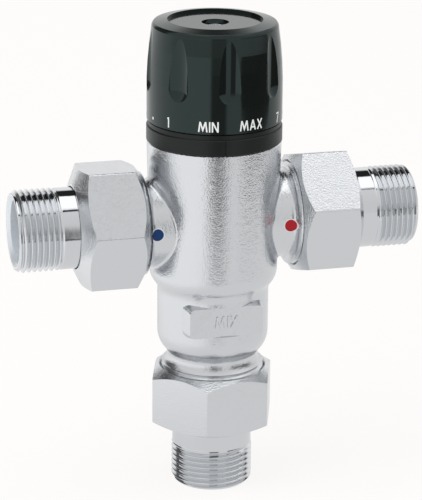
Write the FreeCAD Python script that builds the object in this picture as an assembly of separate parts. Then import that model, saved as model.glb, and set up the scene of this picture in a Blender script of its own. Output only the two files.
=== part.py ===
"""Thermostatic mixing valve with union tails, in millimetres.

The valve is drawn about the crossing of the inlet axis and the valve axis: +Z up through the knob,
-X towards the cold inlet, +X towards the hot inlet and -Y towards the front. Every piece is then
lifted so that the origin is at the centre of the outlet tail's end face.

Cold water enters the upper chamber and hot water the lower one. A tubular shutter closes the cold
seat above it or the hot seat below it, and a wax element in the mixed water moves it down as the
mix warms. The knob turns a spindle whose left-hand thread lifts the carriage that the wax element
pushes against.
"""

import FreeCAD, Part
import math
import os

# ------------------------------------------------------------------ fits
RUNNING = 0.05              # radial clearance of a piece that slides or turns
SNUG = 0.05                 # radial clearance of a piece that stays where it is fitted
LOOSE = 0.5                 # clearance all round where pieces only pass each other
MARGIN = 0.1                # left between the shutter and a seat at the end of its travel
EDGE = 0.4                  # broken edge on a machined corner
CROWN_FLAT = 0.3            # radius of the flat left at the crown of a dome
WIRE_FLATS = 10             # sides of a spring's wire

# ------------------------------------------------------------------ ports and unions
INLET_REACH = 14.45         # from the barrel to the end face of an inlet port
OUTLET_FACE = 60.5          # inlet axis down to the end face of the outlet port
PORT_THREAD_RADIUS = 16.62  # major radius of the union thread, G 1
PORT_THREAD_LENGTH = 12.0
PORT_BORE = 11.5
RING_COUNT = 3              # turns of the union thread left outside its nut
RING_PITCH = 1.3
RING_DEPTH = 0.6

GASKET_BORE = 9.8
GASKET_RADIUS = 15.0
GASKET_THICKNESS = 2.0

TAIL_THREAD_RADIUS = 13.22  # major radius of the pipe thread, G 3/4
TAIL_THREAD_LENGTH = 14.2   # with its end chamfer
TAIL_LENGTH = 27.5
TAIL_BORE = 10.2
TAIL_SHANK_RADIUS = 13.0
TAIL_FLANGE_RADIUS = 14.9
TAIL_FLANGE_THICKNESS = 3.5
TAIL_CHAMFER = 1.1

NUT_ACROSS_FLATS = 37.5
NUT_LENGTH = 21.0
NUT_FRONT_WALL = 4.8
NUT_FRONT_FACE = 14.0       # radius where the front cone starts
NUT_FRONT_ANGLE = 25.0      # degrees between the cone and the end face
NUT_REAR_FACE = 17.6
NUT_REAR_ANGLE = 34.0
NUT_EDGE = 0.8              # rounding of the six long edges
NUT_ENTRY = 0.7
NUT_CLEARANCE = 0.3         # round the tail's shank
COLD_NUT_TURN = 35.3        # degrees that each nut happens to be turned when tight
HOT_NUT_TURN = 14.0
OUTLET_NUT_TURN = 48.6

# ------------------------------------------------------------------ forged body, outside
BODY_TOP = 26.6
BARREL_RADIUS = 21.55
BARREL_TAPER = 0.8          # how much narrower the barrel is at its foot
BARREL_FOOT = -16.0
LOWER_RADIUS = 18.05
LOWER_TOP = -23.5
LOWER_FOOT = -37.5
OUTLET_NECK_RADIUS = 14.9
OUTLET_NECK = -45.5         # height of the outlet neck's waist
SHOULDER_SHARE = 0.6        # part of the shoulder that bulges before it turns hollow
WAIST_SHARE = 0.72
INLET_NECK_RADIUS = 14.0
INLET_FLARE = 1.8           # length of the flare up to the thread
NECK_FILLET = 1.2

PAD_WIDTH = 24.0            # flat forged pad on the front, for the outlet's name
PAD_TOP = -24.9
PAD_FOOT = -34.7
PAD_FACE = 17.4             # distance of its face in front of the valve axis
PAD_ROOT = 11.0
PAD_DRAFT = 1.6
PAD_CORNER = 1.5

MARKER_RADIUS = 1.95        # coloured disc on each inlet neck
MARKER_GAP = 0.3            # from the barrel's widest to the disc's centre
MARKER_DEPTH = 0.4
MARKER_PROUD = 0.05

# ------------------------------------------------------------------ forged body, inside
BARREL_WALL = 3.05          # round the headwork
HEADWORK_FOOT = 13.5
CHAMBER_STEP = 1.45         # headwork's bore to the chambers
PARTITION_BORE = 13.1
PARTITION_HALF = 3.5        # half the height of the wall between the two chambers
COLD_SEAT = 13.0
HOT_SEAT = -13.0
HOT_SEAT_BORE = 11.4
HOT_SEAT_LAND = 3.0
MIX_RADIUS = 13.6
MIX_EASE = 2.2              # height of the taper that opens the mixing chamber
SPRING_LEDGE = -34.0
SPRING_LEDGE_BORE = 9.0
SPRING_LEDGE_HEIGHT = 3.0
PORT_BORE_END = 19.0        # how near the valve axis an inlet bore reaches
WINDOW_REACH = 14.0

# ------------------------------------------------------------------ thermostat
KNOB_LEAD = 3.0             # carriage rise for one turn of the knob
KNOB_SWEEP = 337.0          # degrees from the coldest setting to the hottest
WAX_STROKE = 1.5
OVERLOAD_TRAVEL = 1.8
SHUTTER_LIFT = 1.6          # gap over the hot seat at the coldest setting
SHUTTER_BORE = 10.9
SHUTTER_GROOVE_PLACE = -0.6
SPIDER_HEIGHT = 9.4         # underside of the spider above the shutter's lower edge
SPIDER_THICKNESS = 3.0
SPIDER_ARMS = 4
SPIDER_ARM_WIDTH = 3.0
HUB_RADIUS = 7.2
BULB_RADIUS = 5.0
BULB_LENGTH = 27.0
WAX_FLANGE_RADIUS = 6.9
WAX_FLANGE_THICKNESS = 3.0
WAX_GUIDE_RADIUS = 3.4
WAX_GUIDE_LENGTH = 5.6
PUSH_ROD_RADIUS = 1.5
PUSH_ROD_DEPTH = 6.6        # how far the rod stands in the guide
PUSH_ROD_SOCKET = 2.2
RETURN_SPRING_RADIUS = 9.9
RETURN_SPRING_WIRE = 1.4
RETURN_SPRING_TURNS = 6

PLUNGER_GAP = 0.4
PLUNGER_NOSE_RADIUS = 4.2
PLUNGER_NOSE_LENGTH = 3.0
PLUNGER_FLANGE_THICKNESS = 2.3
PLUNGER_BOSS_RADIUS = 4.4
PLUNGER_BOSS_LENGTH = 1.7
OVERLOAD_SPRING_LENGTH = 8.7
OVERLOAD_SPRING_WIRE = 1.3
OVERLOAD_SPRING_TURNS = 4

# ------------------------------------------------------------------ carriage and spindle
CARRIAGE_RADIUS = 8.9
CARRIAGE_BORE = 7.3
CARRIAGE_NUT_LENGTH = 6.3
CARRIAGE_LIP = 0.6
KEY_WIDTH = 4.0
KEY_RADIUS = 10.4
KEY_LENGTH = 14.0
CLIP_THICKNESS = 1.0
CLIP_GROOVE_DEPTH = 0.6
CLIP_WIDTH = 2.6
CLIP_GAP = 4.0
SPINDLE_THREAD_RADIUS = 5.5
SPINDLE_RADIUS = 4.95
SPINDLE_FLANGE_RADIUS = 8.4
SPINDLE_FLANGE_THICKNESS = 1.9
WASHER_THICKNESS = 0.6
SPLINE_RADIUS = 4.2
SPLINE_COUNT = 12
SPLINE_DEPTH = 0.5
SPLINE_WIDTH = 0.9
SPLINE_LENGTH = 9.6
SPINDLE_CLIP_RADIUS = 7.0
SPINDLE_CLIP_GROOVE = 3.9

# ------------------------------------------------------------------ seals of round section
SEAL_THICKNESS = 1.5
SEAL_SLACK = 0.15           # groove length beyond the seal's thickness, each side
HEADWORK_SEAL_PLACE = 16.0
SPINDLE_SEALS = (3.2, 6.8)  # heights above the foot of the headwork's neck

# ------------------------------------------------------------------ headwork and scale collar
SEAT_RING_RADIUS = 14.0
HEADWORK_FLANGE_STEP = 1.05  # headwork to its flange
HEADWORK_FLANGE_THICKNESS = 1.8
COLLAR_HUB_RADIUS = 14.5
COLLAR_HUB_TOP = 33.0
HEADWORK_HEX = 24.0
HEADWORK_HEX_TOP = 39.0
HEADWORK_NECK_RADIUS = 8.5
HEADWORK_NECK_LENGTH = 10.0
COLLAR_PROUD = 0.15         # beyond the barrel
COLLAR_HEIGHT = 5.0
COLLAR_WEB = 2.0
COLLAR_LIP_INSET = 0.4
COLLAR_LIP_WALL = 2.4
COLLAR_KEYS = 3
COLLAR_KEY_WIDTH = 3.0
COLLAR_KEY_DEPTH = 1.2
INDEX_ANGLE = -95.5         # where the collar's index mark stands, from +X towards +Y
INDEX_WIDTH = 0.35
INDEX_DEPTH = 0.3

# ------------------------------------------------------------------ knob
KNOB_GAP = 1.8              # between the collar's shoulder and the knob
KNOB_LIFT = 0.3             # between the collar's lip and the knob
KNOB_INSET = 0.1            # behind the collar
KNOB_STRAIGHT = 8.1         # height of the scale band, which has no taper
KNOB_WAIST_INSET = 0.3      # behind the scale band, as are the next ones
KNOB_SHOULDER_INSET = 1.5
KNOB_SHOULDER = 29.8        # height of the shoulder above the knob's foot
KNOB_TAPER_RUNS = 4         # cones that make up the taper below the shoulder
KNOB_RIM_INSET = 2.2
KNOB_RIM = 31.25
KNOB_HEIGHT = 32.0
DISC_INSET = 6.5
DISC_DEPTH = 1.0
KNOB_WALL = 3.0
KNOB_ROOF = 2.8
KNOB_RIBS = 6
KNOB_RIB_THICKNESS = 1.2
BOSS_RADIUS = 8.0
FLUTES = 8
FLUTE_PHASE = -92.0         # degrees from +X to the first flute
FLUTE_CUTTER_RADIUS = 6.3
FLUTE_DEPTH = 1.45          # below the scale band
FLUTE_FOOT = 13.6           # height of the cutter's ball above the knob's foot
SCREW_RADIUS = 2.0
SCREW_LENGTH = 9.5
SCREW_HEAD_RADIUS = 3.4
SCREW_HEAD_HEIGHT = 3.2
SCREW_SLOT_WIDTH = 0.9
SCREW_SLOT_DEPTH = 1.2
SCREW_WELL_RADIUS = 4.35
SCREW_WEB = 2.3

# ------------------------------------------------------------------ check valve cartridges and strainers
CARTRIDGE_RADIUS = 11.35
CARTRIDGE_LENGTH = 14.5
CARTRIDGE_FLANGE_RADIUS = 12.9
CARTRIDGE_FLANGE_THICKNESS = 1.6
CARTRIDGE_BORE = 9.9
CARTRIDGE_SEAL_PLACE = 3.0
CHECK_SEAT_BORE = 7.0
CHECK_SEAT = 4.4            # depth of the seat behind the port's face
CHECK_TRAVEL = 2.5
CHECK_SEAL_THICKNESS = 0.8
CHECK_SEAL_RADIUS = 8.4
POPPET_NOSE_RADIUS = 6.5
POPPET_NOSE_LENGTH = 1.8
POPPET_RADIUS = 8.6
POPPET_THICKNESS = 1.2
POPPET_STEM_RADIUS = 1.62
CHECK_SPRING_LENGTH = 4.8
CHECK_SPRING_RADIUS = 3.2
CHECK_SPRING_WIRE = 0.5
CHECK_SPRING_TURNS = 3
RETAINER_HUB_RADIUS = 4.2
RETAINER_HUB_LENGTH = 2.0
RETAINER_RING_WALL = 1.3
RETAINER_RING_LENGTH = 2.2
RETAINER_ARMS = 3
RETAINER_ARM_WIDTH = 1.8
RETAINER_ARM_THICKNESS = 0.9
STRAINER_RIM_RADIUS = 10.3
STRAINER_RIM_THICKNESS = 0.6
STRAINER_RADIUS = 9.2
STRAINER_WALL = 0.5
STRAINER_LENGTH = 12.0
STRAINER_SLOTS = 10
STRAINER_SLOT_WIDTH = 1.8
STRAINER_SLOT_MARGIN = 1.6

# ------------------------------------------------------------------ worked out from the sizes above
INLET_FACE = BARREL_RADIUS + INLET_REACH
BARREL_FOOT_RADIUS = BARREL_RADIUS - BARREL_TAPER
MARKER_PLACE = BARREL_RADIUS + MARKER_GAP
HEADWORK_RADIUS = BARREL_RADIUS - BARREL_WALL - SNUG
CHAMBER_RADIUS = HEADWORK_RADIUS - CHAMBER_STEP
HEADWORK_FLANGE_RADIUS = HEADWORK_RADIUS + HEADWORK_FLANGE_STEP
COLLAR_RADIUS = BARREL_RADIUS + COLLAR_PROUD
COLLAR_LIP_RADIUS = COLLAR_RADIUS - COLLAR_LIP_INSET
COLLAR_LIP_BORE = COLLAR_LIP_RADIUS - COLLAR_LIP_WALL
KNOB_RADIUS = COLLAR_RADIUS - KNOB_INSET
KNOB_WAIST_RADIUS = KNOB_RADIUS - KNOB_WAIST_INSET
KNOB_SHOULDER_RADIUS = KNOB_RADIUS - KNOB_SHOULDER_INSET
KNOB_RIM_RADIUS = KNOB_RADIUS - KNOB_RIM_INSET
DISC_RADIUS = KNOB_RADIUS - DISC_INSET
FLUTE_FLOOR = KNOB_RADIUS - FLUTE_DEPTH
CARRIAGE_TRAVEL = KNOB_LEAD * KNOB_SWEEP / 360.0
SHUTTER_RADIUS = PARTITION_BORE - RUNNING
SHUTTER_FOOT = HOT_SEAT + SHUTTER_LIFT
SHUTTER_TOP = COLD_SEAT - CARRIAGE_TRAVEL - MARGIN
SPIDER_FOOT = SHUTTER_FOOT + SPIDER_HEIGHT
SPIDER_TOP = SPIDER_FOOT + SPIDER_THICKNESS
WAX_GUIDE_FOOT = SPIDER_TOP + WAX_FLANGE_THICKNESS
WAX_GUIDE_TOP = WAX_GUIDE_FOOT + WAX_GUIDE_LENGTH
PLUNGER_FOOT = WAX_GUIDE_TOP + PLUNGER_GAP
PLUNGER_FLANGE_FOOT = PLUNGER_FOOT + PLUNGER_NOSE_LENGTH
PLUNGER_FLANGE_TOP = PLUNGER_FLANGE_FOOT + PLUNGER_FLANGE_THICKNESS
PLUNGER_TOP = PLUNGER_FLANGE_TOP + PLUNGER_BOSS_LENGTH
CARRIAGE_FOOT = PLUNGER_FLANGE_FOOT - CLIP_THICKNESS - CARRIAGE_LIP
CARRIAGE_SHELF = PLUNGER_FLANGE_TOP + OVERLOAD_SPRING_LENGTH
CARRIAGE_TOP = CARRIAGE_SHELF + CARRIAGE_NUT_LENGTH
SPINDLE_FOOT = PLUNGER_TOP + OVERLOAD_TRAVEL + CARRIAGE_TRAVEL + LOOSE
SPINDLE_FLANGE_FOOT = CARRIAGE_TOP + CARRIAGE_TRAVEL + LOOSE
SPINDLE_FLANGE_TOP = SPINDLE_FLANGE_FOOT + SPINDLE_FLANGE_THICKNESS
HEADWORK_ROOF = SPINDLE_FLANGE_TOP + WASHER_THICKNESS
HEADWORK_TOP = HEADWORK_ROOF + HEADWORK_NECK_LENGTH
SPLINE_FOOT = HEADWORK_TOP + CLIP_THICKNESS
SPINDLE_TOP = SPLINE_FOOT + SPLINE_LENGTH
COLLAR_TOP = BODY_TOP + COLLAR_HEIGHT
KNOB_FOOT = COLLAR_TOP + KNOB_GAP
KNOB_TOP = KNOB_FOOT + KNOB_HEIGHT
DISC_LEVEL = KNOB_TOP - DISC_DEPTH
SCREW_SEAT = SPINDLE_TOP + MARGIN + SCREW_WEB

Vector = FreeCAD.Vector
AXIS = Vector(0, 0, 1)
ORIGIN = Vector(0, 0, 0)


# ------------------------------------------------------------------ shaping helpers
def via(point):
    """Mark an (x, z) point as the middle of an arc."""
    return ("via", point)


def outline(points):
    """Closed wire in the XZ plane through (x, z) points, with an arc through each marked one."""
    edges = []
    here, middle = None, None
    for point in list(points) + [points[0]]:
        if point[0] == "via":
            middle = Vector(point[1][0], 0, point[1][1])
            continue
        there = Vector(point[0], 0, point[1])
        if here is not None and middle is not None:
            edges.append(Part.Arc(here, middle, there).toShape())
        elif here is not None:
            edges.append(Part.LineSegment(here, there).toShape())
        here, middle = there, None
    return Part.Wire(edges)


def turned(*points):
    """Solid of revolution about Z from a closed outline of (radius, z) points."""
    return Part.Face(outline(points)).revolve(ORIGIN, AXIS, 360)


def rod(radius, low, high):
    return Part.makeCylinder(radius, high - low, Vector(0, 0, low))


def tube(radius, bore, low, high):
    return rod(radius, low, high).cut(rod(bore, low, high))


def block(low, high):
    """Box between two opposite corners."""
    return Part.makeBox(high[0] - low[0], high[1] - low[1], high[2] - low[2], Vector(*low))


def arm(width, inner, outer, low, high):
    """Straight bar along +X from one radius to another."""
    return block((inner, -width / 2, low), (outer, width / 2, high))


def ring_of(shape, count, first=0.0):
    """Copies of a shape turned evenly about Z, as one compound."""
    copies = []
    for index in range(count):
        copy = shape.copy()
        copy.rotate(ORIGIN, AXIS, first + index * 360.0 / count)
        copies.append(copy)
    return Part.makeCompound(copies)


def hexagon(across_flats, low, high, turn=0.0):
    """Hexagonal bar about Z with one corner at the given angle."""
    corner = across_flats / math.sqrt(3)
    corners = []
    for index in range(6):
        angle = math.radians(turn + 60.0 * index)
        corners.append(Vector(corner * math.cos(angle), corner * math.sin(angle), low))
    face = Part.Face(Part.makePolygon(corners + corners[:1]))
    return face.extrude(Vector(0, 0, high - low))


def seal(radius, place):
    """Round-section seal that fills its groove out to the given radius."""
    section = SEAL_THICKNESS / 2
    return Part.makeTorus(radius - section, section, Vector(0, 0, place))


def seal_groove(radius, place):
    """What is cut from a shaft of the given radius to hold a seal."""
    half = SEAL_THICKNESS / 2 + SEAL_SLACK
    return tube(radius + LOOSE, radius - SEAL_THICKNESS, place - half, place + half)


def coil(radius, wire, low, high, turns):
    """Open coil spring between two levels, its wire drawn with narrow flats."""
    height = high - low - wire
    path = Part.makeHelix(height / turns, height, radius)
    path.translate(Vector(0, 0, low + wire / 2))
    section = []
    for corner in range(WIRE_FLATS + 1):
        around = math.radians(360 * corner / WIRE_FLATS)
        section.append(Vector(radius + wire / 2 * math.cos(around), 0,
                              low + wire / 2 * (1 + math.sin(around))))
    return Part.Wire(path.Edges).makePipeShell([Part.makePolygon(section)], True, True)


def snap_ring(radius, bore, low):
    """Flat ring with a gap, sprung into a groove."""
    ring = tube(radius, bore, low, low + CLIP_THICKNESS)
    return ring.cut(arm(CLIP_GAP, 0, radius + LOOSE, low, low + CLIP_THICKNESS))


def eased(start, end):
    """Middle of the arc that leaves start parallel to the axis and runs to end."""
    across = end[0] - start[0]
    along = end[1] - start[1]
    half_turn = math.atan2(abs(across), abs(along))
    radius = (across ** 2 + along ** 2) / (2 * abs(across))
    return via((start[0] + math.copysign(radius * (1 - math.cos(half_turn)), across),
                start[1] + math.copysign(radius * math.sin(half_turn), along)))


def dome(foot, top):
    """Spherical cap in an outline, from its edge to the small flat at its crown."""
    level = ((foot[0] ** 2 + foot[1] ** 2 - CROWN_FLAT ** 2 - top ** 2) / (2 * (foot[1] - top)))
    radius = math.hypot(foot[0], foot[1] - level)
    lean = (math.atan2(foot[0], foot[1] - level) + math.atan2(CROWN_FLAT, top - level)) / 2
    return [via((radius * math.sin(lean), level + radius * math.cos(lean))),
            (CROWN_FLAT, top), (0, top)]


def runs(start, middle, end, count):
    """Points along the arc through three (x, z) points, to be joined by straight runs."""
    arc = Part.Arc(*(Vector(x, 0, z) for x, z in (start, middle, end)))
    return [(point.x, point.z) for point in arc.toShape().discretize(count + 1)]


def ogee(start, end, share):
    """S-shaped stretch of an outline, parallel to the axis at both ends, after its start."""
    middle = tuple(a + share * (b - a) for a, b in zip(start, end))
    return [eased(start, middle), middle, eased(end, middle), end]


def edges_where(shape, test):
    """Edges whose middle point passes a test."""
    found = []
    for edge in shape.Edges:
        middle = edge.valueAt((edge.FirstParameter + edge.LastParameter) / 2)
        if test(middle):
            found.append(edge)
    return found


def beside(shape, tilt, face=0.0):
    """Move a shape drawn along +Z to a port: tilted about Y, and its zero at the port's face."""
    placed = shape.copy()
    placed.translate(Vector(0, 0, face))
    placed.rotate(ORIGIN, Vector(0, 1, 0), tilt)
    return placed


# ------------------------------------------------------------------ forged body
def thread_rings(start, step):
    """Outline of the turns of union thread that stand outside the nut."""
    points = []
    for index in range(RING_COUNT):
        crest = start + step * RING_PITCH * index
        points.append((PORT_THREAD_RADIUS, crest))
        points.append((PORT_THREAD_RADIUS - RING_DEPTH, crest + step * RING_PITCH / 2))
    return points


def port_end(face, step):
    """Outline of a port's thread from its first turn to the axis at its end face."""
    return thread_rings(face - step * PORT_THREAD_LENGTH, step) + [
        (PORT_THREAD_RADIUS, face - step * (PORT_THREAD_LENGTH - RING_COUNT * RING_PITCH)),
        (PORT_THREAD_RADIUS, face - step * (PORT_THREAD_RADIUS - GASKET_RADIUS)),
        (GASKET_RADIUS, face),
        (0, face),
    ]


def inlet_neck():
    """One inlet's neck, flare and threaded end, along +Z from the valve axis."""
    waist = (INLET_NECK_RADIUS, INLET_FACE - PORT_THREAD_LENGTH - INLET_FLARE)
    flare_end = (PORT_THREAD_RADIUS - RING_DEPTH, INLET_FACE - PORT_THREAD_LENGTH)
    return turned((0, 0), (INLET_NECK_RADIUS, 0), waist, eased(waist, flare_end), flare_end,
                  *port_end(INLET_FACE, 1))


def stem():
    """Barrel, lower cylinder, waist and threaded outlet: everything about the valve axis."""
    foot = (BARREL_FOOT_RADIUS, BARREL_FOOT)
    waist = (OUTLET_NECK_RADIUS, OUTLET_NECK)
    flare_end = (PORT_THREAD_RADIUS - RING_DEPTH, PORT_THREAD_LENGTH - OUTLET_FACE)
    return turned(
        (0, BODY_TOP), (BARREL_RADIUS - EDGE, BODY_TOP), (BARREL_RADIUS, BODY_TOP - EDGE), foot,
        *ogee(foot, (LOWER_RADIUS, LOWER_TOP), SHOULDER_SHARE),
        (LOWER_RADIUS, LOWER_FOOT),
        *ogee((LOWER_RADIUS, LOWER_FOOT), waist, WAIST_SHARE),
        eased(waist, flare_end), flare_end, *port_end(-OUTLET_FACE, -1))


def pad_outline(grow, distance):
    """Rectangle with rounded corners, facing the front at a distance from the valve axis."""
    half = PAD_WIDTH / 2 + grow
    low, high = PAD_FOOT - grow, PAD_TOP + grow
    corners = [Vector(-half, -distance, low), Vector(half, -distance, low),
               Vector(half, -distance, high), Vector(-half, -distance, high)]
    plate = Part.Face(Part.makePolygon(corners + corners[:1])).extrude(Vector(0, -1, 0))
    upright = edges_where(plate, lambda p: abs(p.y + distance + 0.5) < MARGIN)
    rounded = plate.makeFillet(PAD_CORNER + grow, upright)
    face = [f for f in rounded.Faces if abs(f.CenterOfMass.y + distance) < MARGIN][0]
    return face.OuterWire


def pad():
    """Drafted boss whose face carries the outlet's name."""
    return Part.makeLoft([pad_outline(0.0, PAD_FACE), pad_outline(PAD_DRAFT, PAD_ROOT)], True, True)


def pad_relief():
    """Clears the crown of the cylinder in front of the pad's face."""
    return Part.Face(pad_outline(0.0, PAD_FACE)).extrude(Vector(0, PAD_FACE - BARREL_RADIUS, 0))


def waterway():
    """What is bored out of the body along the valve axis."""
    mix_top = HOT_SEAT - HOT_SEAT_LAND
    ledge_foot = SPRING_LEDGE - SPRING_LEDGE_HEIGHT
    bore = HEADWORK_RADIUS + SNUG
    return turned(
        (0, BODY_TOP), (bore + EDGE, BODY_TOP), (bore, BODY_TOP - EDGE), (bore, HEADWORK_FOOT),
        (CHAMBER_RADIUS, HEADWORK_FOOT), (CHAMBER_RADIUS, PARTITION_HALF),
        (PARTITION_BORE, PARTITION_HALF), (PARTITION_BORE, -PARTITION_HALF),
        (CHAMBER_RADIUS, -PARTITION_HALF), (CHAMBER_RADIUS, HOT_SEAT),
        (HOT_SEAT_BORE, HOT_SEAT), (HOT_SEAT_BORE, mix_top),
        (MIX_RADIUS, mix_top - MIX_EASE), (MIX_RADIUS, SPRING_LEDGE),
        (SPRING_LEDGE_BORE, SPRING_LEDGE), (SPRING_LEDGE_BORE, ledge_foot),
        (PORT_BORE, ledge_foot - (PORT_BORE - SPRING_LEDGE_BORE)), (PORT_BORE, -OUTLET_FACE),
        (0, -OUTLET_FACE))


def inlet_bore():
    """What is bored out of one inlet, along +Z from the valve axis."""
    seat = INLET_FACE - CARTRIDGE_FLANGE_THICKNESS
    return rod(PORT_BORE, PORT_BORE_END, INLET_FACE).fuse(
        rod(CARTRIDGE_FLANGE_RADIUS + SNUG, seat, INLET_FACE))


def window(side):
    """Way from one inlet's bore into its chamber: above the partition for +1, below for -1."""
    bore = beside(rod(PORT_BORE, WINDOW_REACH, PORT_BORE_END + EDGE), -90.0 * side)
    low, high = sorted((side * PARTITION_HALF, side * min(PORT_BORE, COLD_SEAT)))
    return bore.common(block((-INLET_FACE, -PORT_BORE, low), (INLET_FACE, PORT_BORE, high)))


def marker(side):
    """Coloured disc let into an inlet's neck, at -X for the cold side and +X for the hot one."""
    cut = Part.makeCylinder(MARKER_RADIUS, INLET_NECK_RADIUS + LOOSE,
                            Vector(side * MARKER_PLACE, 0, 0), Vector(0, -1, 0))
    neck = beside(tube(INLET_NECK_RADIUS + MARKER_PROUD, INLET_NECK_RADIUS - MARKER_DEPTH,
                       0, INLET_FACE), 90.0 * side)
    return cut.common(neck).Solids[0]


def valve_body():
    shape = stem().fuse([beside(inlet_neck(), -90.0), beside(inlet_neck(), 90.0)])

    def is_neck_root(point):
        on_neck = abs(math.hypot(point.y, point.z) - INLET_NECK_RADIUS) < MARGIN
        return on_neck and abs(point.x) < BARREL_RADIUS

    shape = shape.removeSplitter()
    shape = shape.makeFillet(NECK_FILLET, edges_where(shape, is_neck_root))
    shape = shape.fuse(pad()).cut(pad_relief())
    cutters = [waterway(), window(1), window(-1), marker(1), marker(-1)]
    cutters += [beside(inlet_bore(), -90.0), beside(inlet_bore(), 90.0)]
    return shape.cut(cutters)


# ------------------------------------------------------------------ unions, along +Z from a port's face
def gasket():
    return tube(GASKET_RADIUS, GASKET_BORE, 0, GASKET_THICKNESS)


def tail():
    """Pipe tail with the flange that the nut pulls against the gasket."""
    foot = GASKET_THICKNESS
    back = foot + TAIL_FLANGE_THICKNESS
    end = foot + TAIL_LENGTH
    thread = end - TAIL_THREAD_LENGTH
    return turned(
        (TAIL_BORE, foot), (TAIL_FLANGE_RADIUS, foot), (TAIL_FLANGE_RADIUS, back),
        (TAIL_SHANK_RADIUS, back), (TAIL_SHANK_RADIUS, thread), (TAIL_THREAD_RADIUS, thread),
        (TAIL_THREAD_RADIUS, end - TAIL_CHAMFER), (TAIL_THREAD_RADIUS - TAIL_CHAMFER, end),
        (TAIL_BORE + TAIL_CHAMFER, end), (TAIL_BORE, end - TAIL_CHAMFER))


def union_nut(turn):
    shoulder = GASKET_THICKNESS + TAIL_FLANGE_THICKNESS
    front = shoulder + NUT_FRONT_WALL
    rear = front - NUT_LENGTH
    reach = NUT_ACROSS_FLATS / math.sqrt(3) + LOOSE
    front_rise = (reach - NUT_FRONT_FACE) * math.tan(math.radians(NUT_FRONT_ANGLE))
    rear_rise = (reach - NUT_REAR_FACE) * math.tan(math.radians(NUT_REAR_ANGLE))
    thread = PORT_THREAD_RADIUS + SNUG
    hole = TAIL_SHANK_RADIUS + NUT_CLEARANCE
    bar = hexagon(NUT_ACROSS_FLATS, rear, front, turn)
    corner = NUT_ACROSS_FLATS / math.sqrt(3)
    bar = bar.makeFillet(NUT_EDGE, edges_where(bar, lambda p: math.hypot(p.x, p.y) > corner - MARGIN))
    envelope = turned(
        (thread + NUT_ENTRY, rear), (NUT_REAR_FACE, rear), (reach, rear + rear_rise),
        (reach, front - front_rise), (NUT_FRONT_FACE, front), (hole, front), (hole, shoulder),
        (thread, shoulder), (thread, rear + NUT_ENTRY))
    return bar.common(envelope)


# ------------------------------------------------------------------ check valve and strainer, behind a port's face
def check_housing():
    seal_place = -CARTRIDGE_SEAL_PLACE
    shape = turned(
        (CHECK_SEAT_BORE, -STRAINER_RIM_THICKNESS),
        (STRAINER_RIM_RADIUS + SNUG, -STRAINER_RIM_THICKNESS), (STRAINER_RIM_RADIUS + SNUG, 0),
        (CARTRIDGE_FLANGE_RADIUS, 0), (CARTRIDGE_FLANGE_RADIUS, -CARTRIDGE_FLANGE_THICKNESS),
        (CARTRIDGE_RADIUS, -CARTRIDGE_FLANGE_THICKNESS), (CARTRIDGE_RADIUS, -CARTRIDGE_LENGTH),
        (CARTRIDGE_BORE, -CARTRIDGE_LENGTH), (CARTRIDGE_BORE, -CHECK_SEAT),
        (CHECK_SEAT_BORE, -CHECK_SEAT))
    return shape.cut(seal_groove(CARTRIDGE_RADIUS, seal_place))


def check_o_ring():
    return seal(CARTRIDGE_RADIUS, -CARTRIDGE_SEAL_PLACE)


def check_poppet():
    """Disc with a domed nose upstream and a guide stem downstream."""
    disc_top = -CHECK_SEAT - CHECK_SEAL_THICKNESS
    disc_foot = disc_top - POPPET_THICKNESS
    stem_foot = disc_foot - CHECK_SPRING_LENGTH - RETAINER_HUB_LENGTH
    nose_top = -CHECK_SEAT + POPPET_NOSE_LENGTH
    nose_edge = (POPPET_NOSE_RADIUS, -CHECK_SEAT)
    return turned(
        (0, stem_foot), (POPPET_STEM_RADIUS, stem_foot), (POPPET_STEM_RADIUS, disc_foot),
        (POPPET_RADIUS, disc_foot), (POPPET_RADIUS, disc_top), (POPPET_NOSE_RADIUS, disc_top),
        nose_edge, *dome(nose_edge, nose_top))


def check_seal():
    return tube(CHECK_SEAL_RADIUS, POPPET_NOSE_RADIUS, -CHECK_SEAT - CHECK_SEAL_THICKNESS, -CHECK_SEAT)


def check_spring():
    disc_foot = -CHECK_SEAT - CHECK_SEAL_THICKNESS - POPPET_THICKNESS
    return coil(CHECK_SPRING_RADIUS, CHECK_SPRING_WIRE, disc_foot - CHECK_SPRING_LENGTH, disc_foot,
                CHECK_SPRING_TURNS)


def check_retainer():
    """Hub on three arms that guides the stem and carries the spring."""
    hub_top = -CHECK_SEAT - CHECK_SEAL_THICKNESS - POPPET_THICKNESS - CHECK_SPRING_LENGTH
    hub_foot = hub_top - RETAINER_HUB_LENGTH
    bore = POPPET_STEM_RADIUS + RUNNING
    ring_radius = CARTRIDGE_BORE
    ring_bore = ring_radius - RETAINER_RING_WALL
    middle = (bore + RETAINER_HUB_RADIUS) / 2
    arms = ring_of(arm(RETAINER_ARM_WIDTH, middle, (ring_bore + ring_radius) / 2,
                       hub_foot, hub_foot + RETAINER_ARM_THICKNESS), RETAINER_ARMS)
    hub = tube(RETAINER_HUB_RADIUS, bore, hub_foot, hub_top)
    ring = tube(ring_radius, ring_bore, -CARTRIDGE_LENGTH, -CARTRIDGE_LENGTH + RETAINER_RING_LENGTH)
    return hub.fuse([ring] + arms.Solids).removeSplitter()


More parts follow.
